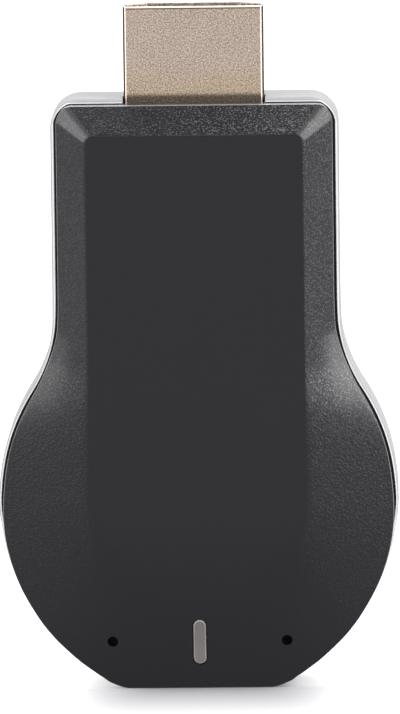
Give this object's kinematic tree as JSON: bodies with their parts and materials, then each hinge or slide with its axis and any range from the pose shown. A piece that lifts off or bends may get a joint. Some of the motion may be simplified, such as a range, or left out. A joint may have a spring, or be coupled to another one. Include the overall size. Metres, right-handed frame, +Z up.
{
  "type": "wireless display adapter",
  "caption": "Paddle-shaped display adapter that stands on its chin: video plug at the top, moulded shell covers, light bar, side button and power socket.",
  "frame": {"origin": "middle of the flat chin that the adapter stands on, at the bottom of its box", "axes": "+Z up along the body towards the plug, +X to the right seen from the front, -Y to the front face"},
  "size_m": [0.0398, 0.0124, 0.0678],
  "materials": {
    "charcoal_plastic": "fine moulded grain, smooth on the plateau",
    "pale_gloss_plastic": "gloss moulded",
    "light_bar": "translucent, satin",
    "button_plastic": "satin moulded",
    "plug_metal": "fine blasted, warm tint",
    "plug_insulator": "moulded",
    "contact_gold": "gold plated",
    "board_laminate": "solder mask",
    "chip_black": "moulded epoxy",
    "part_ceramic": "fired ceramic",
    "part_dark": "coated",
    "capacitor_case": "moulded",
    "tin_can": "tinned sheet",
    "lamp_clear": "clear resin",
    "thermal_rubber": "soft pad",
    "spreader_aluminium": "folded sheet",
    "socket_insulator": "moulded",
    "plunger_plastic": "moulded"
  },
  "bodies": {
    "housing": {"front_cover": "charcoal_plastic", "rear_cover": "pale_gloss_plastic", "light_guide": "light_bar", "hdmi_shell": "plug_metal", "hdmi_insulator": "plug_insulator", "plug_collar": "plug_insulator", "hdmi_front_contacts": "contact_gold", "hdmi_rear_contacts": "contact_gold", "micro_usb_contacts": "contact_gold", "circuit_board": "board_laminate", "wifi_board": "board_laminate", "processor_chip": "chip_black", "memory_chip": "chip_black", "flash_chip": "chip_black", "voltage_regulator": "chip_black", "chip_antennas": "part_ceramic", "ceramic_capacitors": "part_ceramic", "chip_resistors": "part_dark", "power_inductor": "part_dark", "bulk_capacitor": "capacitor_case", "wifi_can": "tin_can", "crystal_can": "tin_can", "switch_frame": "tin_can", "micro_usb_shell": "tin_can", "status_led": "lamp_clear", "thermal_pad": "thermal_rubber", "heat_spreader": "spreader_aluminium", "micro_usb_tongue": "socket_insulator", "switch_body": "socket_insulator"},
    "button": {"function_button": "button_plastic"},
    "plunger": {"switch_plunger": "plunger_plastic"}
  },
  "joints": [
    {"name": "button_press", "type": "slide", "parent": "housing", "child": "button", "axis": [1, 0, 0], "range_m": [0, 0.00025], "stiffness_N_per_m": 1500},
    {"name": "plunger_press", "type": "slide", "parent": "housing", "child": "plunger", "axis": [1, 0, 0], "range_m": [0, 0.00025]}
  ],
  "couplings": [
    {"joint": "plunger_press", "follows": "button_press", "ratio": 1}
  ]
}
